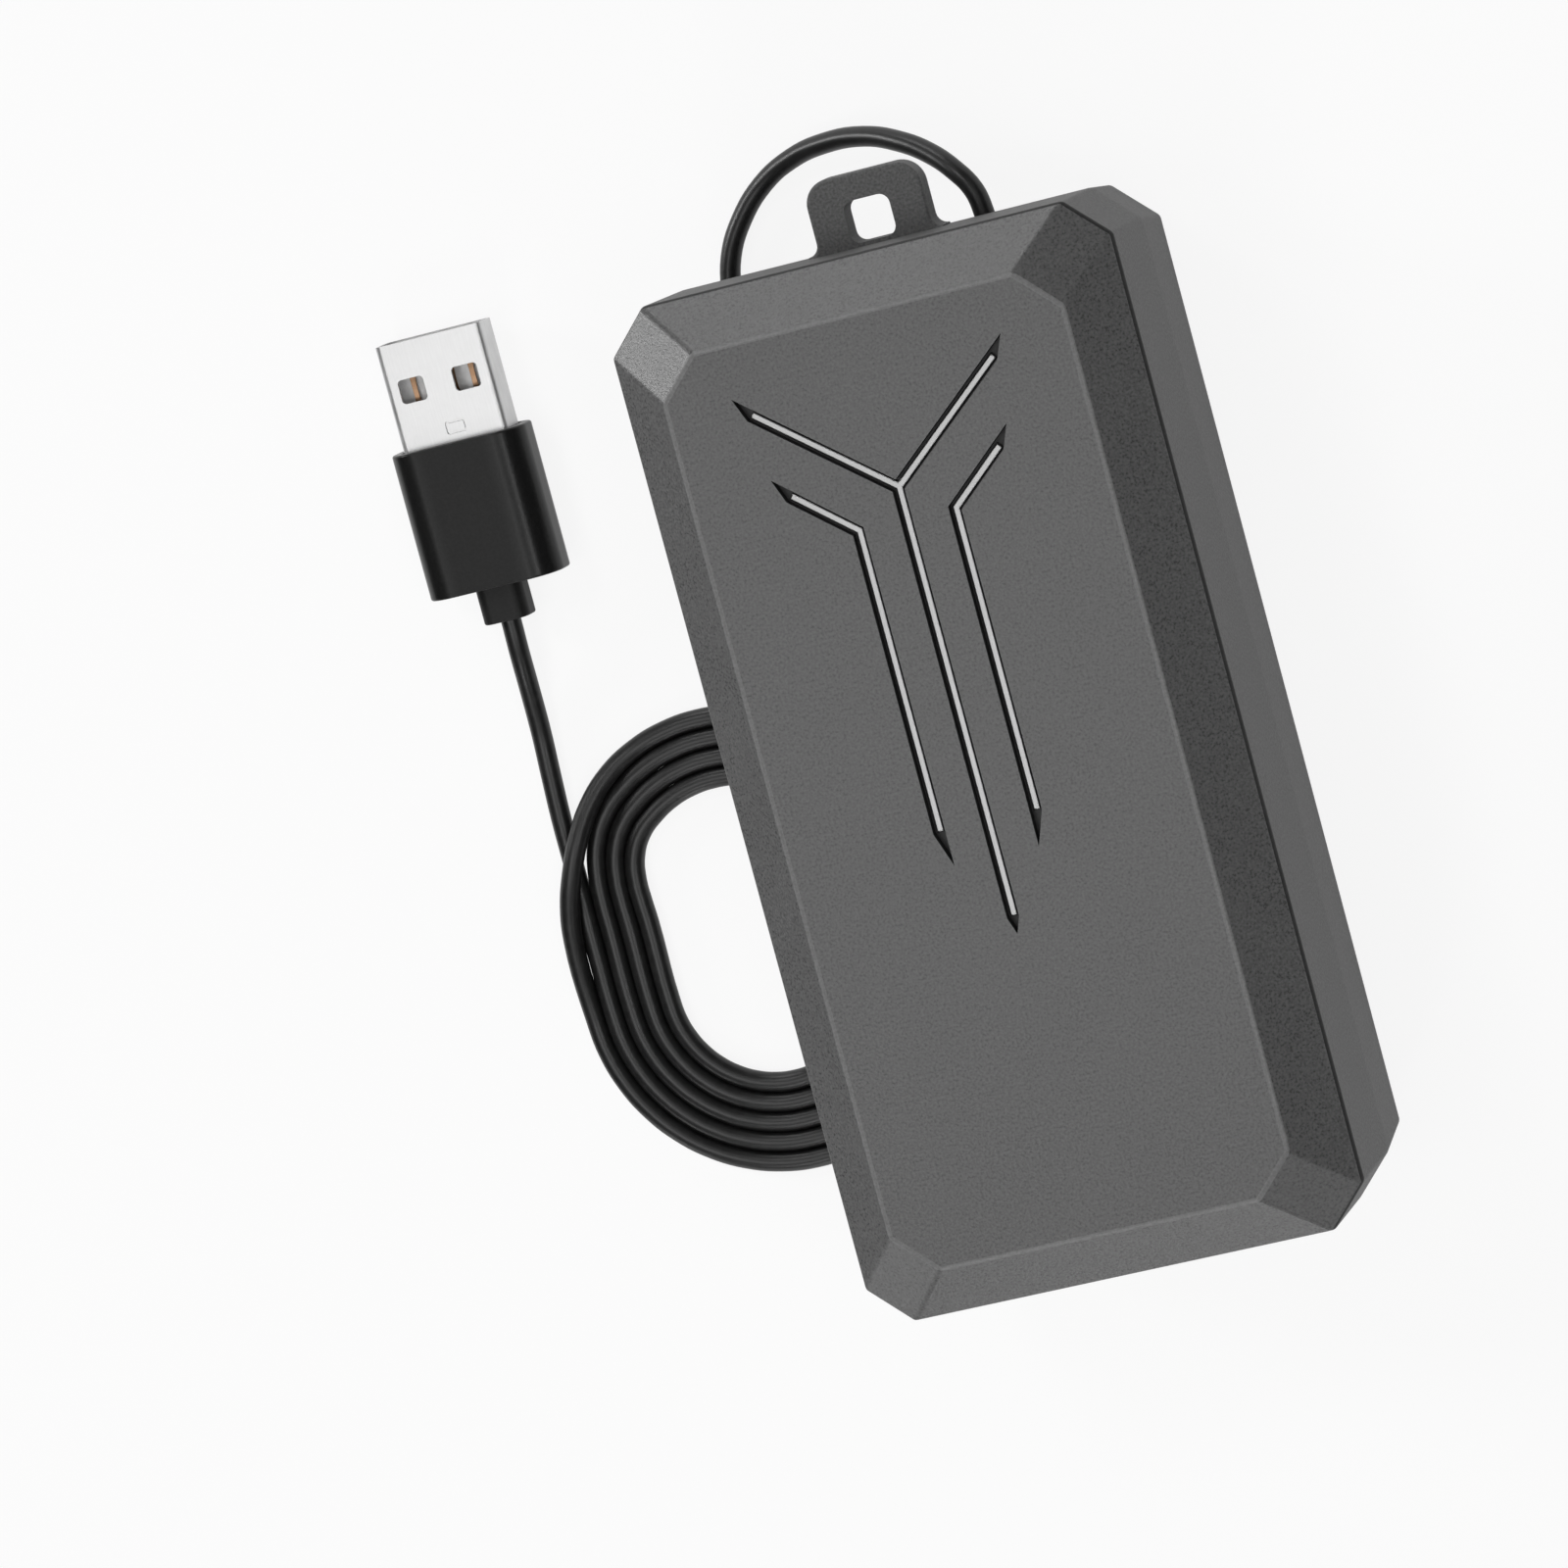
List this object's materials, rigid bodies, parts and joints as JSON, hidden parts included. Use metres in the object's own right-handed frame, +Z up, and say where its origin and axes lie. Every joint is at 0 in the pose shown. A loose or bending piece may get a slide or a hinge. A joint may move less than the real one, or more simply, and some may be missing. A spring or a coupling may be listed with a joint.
{
  "type": "aquarium air pump",
  "caption": "Flat USB-powered aquarium air pump with a bevelled grey case, hanger tab, magnet-driven diaphragm drive inside and a coiled black USB cord",
  "frame": {"origin": "middle of the pump's footprint (case, feet and hanger tab, without the cord), on the surface it lies on", "axes": "+X across the case, +Y along it towards the hanger tab, +Z up out of the grooved front face"},
  "size_m": [0.0887, 0.1193, 0.0367],
  "materials": {
    "case_grey": "finely textured dark grey moulded ABS",
    "bright_trim": "bright foil strip",
    "screw_steel": "zinc-plated steel",
    "soft_rubber": "soft black rubber",
    "felt_white": "pressed white felt",
    "chassis_plastic": "natural moulded plastic",
    "core_steel": "stacked electrical steel sheets",
    "bobbin_nylon": "natural nylon",
    "winding_copper": "enamelled copper wire",
    "arm_nylon": "black glass-filled nylon",
    "magnet_ferrite": "dark sintered ferrite",
    "head_plastic": "grey moulded plastic",
    "hose_silicone": "milky silicone",
    "board_green": "green solder mask on glass-fibre board",
    "chip_black": "black epoxy package",
    "capacitor_can": "sleeved aluminium can",
    "wire_red": "red insulated wire",
    "wire_black": "black insulated wire",
    "wire_enamel": "enamelled copper wire",
    "cord_black": "satin black PVC jacket",
    "plug_black": "satin black moulded PVC",
    "plug_steel": "bright nickel-plated steel",
    "plug_insulator": "white insulator",
    "contact_gold": "gold-plated contact"
  },
  "bodies": {
    "root": {"rear_cover": "case_grey", "front_cover": "case_grey", "trim_centre": "bright_trim", "trim_left": "bright_trim", "trim_right": "bright_trim", "case_screw_1": "screw_steel", "case_screw_2": "screw_steel", "case_screw_3": "screw_steel", "case_screw_4": "screw_steel", "core_screw_1": "screw_steel", "core_screw_2": "screw_steel", "head_screw_1": "screw_steel", "head_screw_2": "screw_steel", "board_screw_1": "screw_steel", "board_screw_2": "screw_steel", "pivot_pin": "screw_steel", "foot_1": "soft_rubber", "foot_2": "soft_rubber", "foot_3": "soft_rubber", "foot_4": "soft_rubber", "damper_bush_1": "soft_rubber", "damper_bush_2": "soft_rubber", "damper_bush_3": "soft_rubber", "damper_bush_4": "soft_rubber", "cord_grommet": "soft_rubber", "diaphragm": "soft_rubber", "intake_felt": "felt_white", "chassis": "chassis_plastic", "magnet_core": "core_steel", "coil_bobbin": "bobbin_nylon", "coil_winding": "winding_copper", "clamp_plate": "head_plastic", "pump_chamber": "head_plastic", "valve_plate": "head_plastic", "head_cover": "head_plastic", "outlet_nipple": "head_plastic", "outlet_hose": "hose_silicone", "circuit_board": "board_green", "driver_chip": "chip_black", "capacitor": "capacitor_can", "power_wire_1": "wire_red", "power_wire_2": "wire_black", "coil_wire_1": "wire_enamel", "coil_wire_2": "wire_enamel", "cord_arc": "cord_black", "cord_coil": "cord_black", "cord_lead": "cord_black", "plug_overmould": "plug_black", "plug_shell": "plug_steel", "plug_tongue": "plug_insulator", "plug_contact_1": "contact_gold", "plug_contact_2": "contact_gold", "plug_contact_3": "contact_gold", "plug_contact_4": "contact_gold"},
    "arm": {"swing_arm": "arm_nylon", "arm_magnet": "magnet_ferrite", "diaphragm_stud": "arm_nylon"},
    "intake_valve": {"intake_flap": "soft_rubber"},
    "outlet_valve": {"outlet_flap": "soft_rubber"}
  },
  "joints": [
    {"name": "arm_swing", "type": "hinge", "parent": "root", "child": "arm", "pos_m": [0.005, -0.0307, 0.0209], "axis": [0, 0, 1], "range_deg": [-2.5, 2.5], "stiffness_Nm_per_rad": 0.05, "deforming": ["diaphragm"]},
    {"name": "intake_flap_hinge", "type": "hinge", "parent": "root", "child": "intake_valve", "pos_m": [-0.01319, -0.0122, 0.0283], "axis": [0, -1, 0], "range_deg": [0, 20], "stiffness_Nm_per_rad": 0.000002},
    {"name": "outlet_flap_hinge", "type": "hinge", "parent": "root", "child": "outlet_valve", "pos_m": [-0.01481, -0.0122, 0.0191], "axis": [0, 1, 0], "range_deg": [0, 20], "stiffness_Nm_per_rad": 0.000002}
  ]
}
